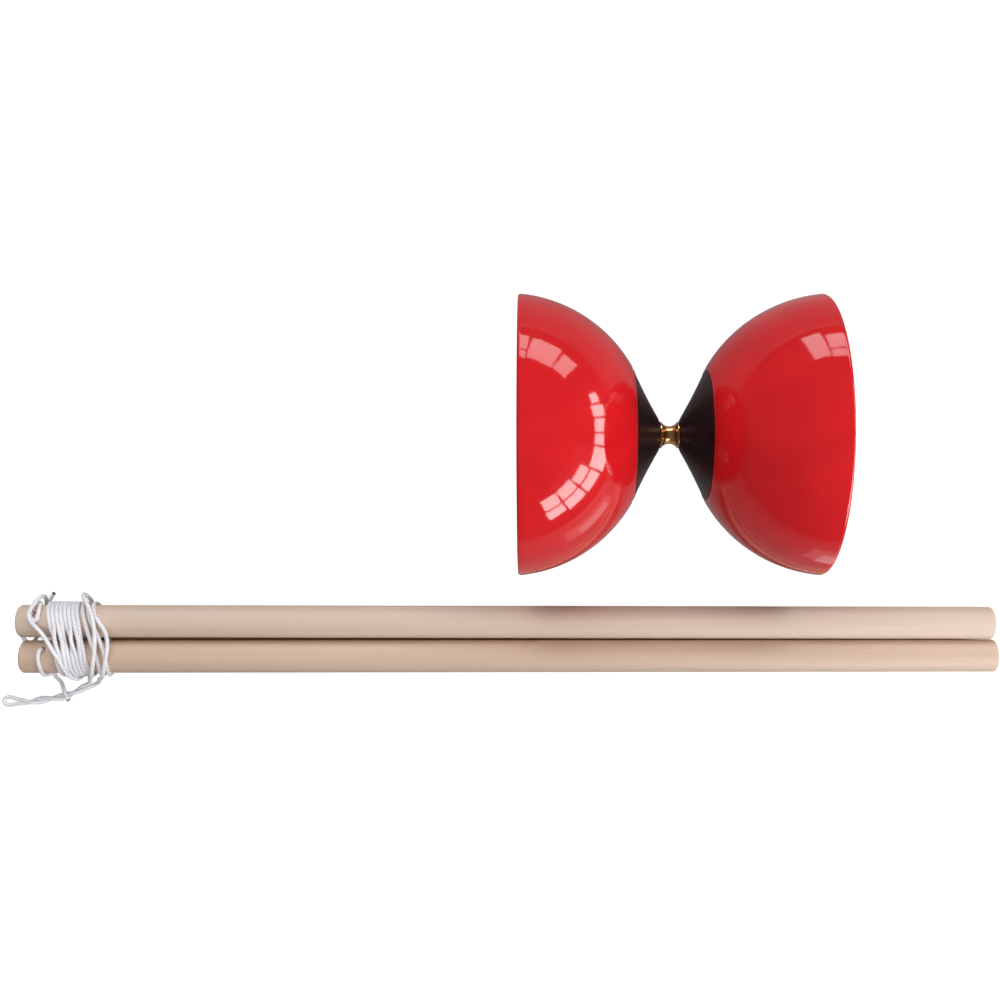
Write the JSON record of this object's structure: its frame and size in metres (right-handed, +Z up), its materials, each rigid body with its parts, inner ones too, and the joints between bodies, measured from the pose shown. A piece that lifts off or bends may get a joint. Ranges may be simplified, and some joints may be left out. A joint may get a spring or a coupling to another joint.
{
  "type": "diabolo with hand sticks and string",
  "caption": "Fixed-axle diabolo, two bowl cups on conical hubs round a waisted spool, lying beside two plain hand sticks bound together with the playing string.",
  "frame": {"origin": "on the resting surface, under the middle of the box that holds the diabolo and both sticks, the string left out", "axes": "+X along the axle and the sticks, away from the bound ends; +Y from the sticks to the diabolo; +Z up from the resting surface"},
  "size_m": [0.373, 0.1485, 0.095],
  "materials": {
    "cup_plastic": "glossy moulded",
    "hub_plastic": "satin moulded",
    "disc_plastic": "satin moulded",
    "spool_brass": "turned and polished",
    "rod_steel": "zinc plated thread",
    "washer_steel": "zinc plated",
    "nut_steel": "zinc plated",
    "nylon": "natural nylon",
    "stick_wood": "sanded, unfinished",
    "string": "braided cord"
  },
  "bodies": {
    "string": {"string_winding": "string", "string_tail": "string", "string_tail_loop": "string"},
    "back_stick": {"stick_back": "stick_wood", "string_end_back": "string"},
    "front_stick": {"stick_front": "stick_wood", "string_end_front": "string"},
    "diabolo": {"cup_left": "cup_plastic", "cup_right": "cup_plastic", "hub_left": "hub_plastic", "hub_right": "hub_plastic", "axle_spool": "spool_brass", "axle_rod": "rod_steel", "clamp_disc_left": "disc_plastic", "clamp_disc_right": "disc_plastic", "washer_left": "washer_steel", "washer_right": "washer_steel", "lock_nut_left": "nut_steel", "lock_nut_right": "nut_steel", "nylon_ring_left": "nylon", "nylon_ring_right": "nylon"}
  },
  "joints": [
    {"name": "diabolo_spin", "type": "hinge", "parent": "string", "child": "diabolo", "pos_m": [0.0552, 0.01955, 0.0475], "axis": [1, 0, 0], "continuous": true},
    {"name": "back_stick_slide", "type": "slide", "parent": "string", "child": "back_stick", "axis": [1, -0.0029, -0.0087], "range_m": [-0.006, 0.0015]},
    {"name": "front_stick_slide", "type": "slide", "parent": "string", "child": "front_stick", "axis": [1, 0, -0.0087], "range_m": [-0.006, 0.0015]}
  ]
}
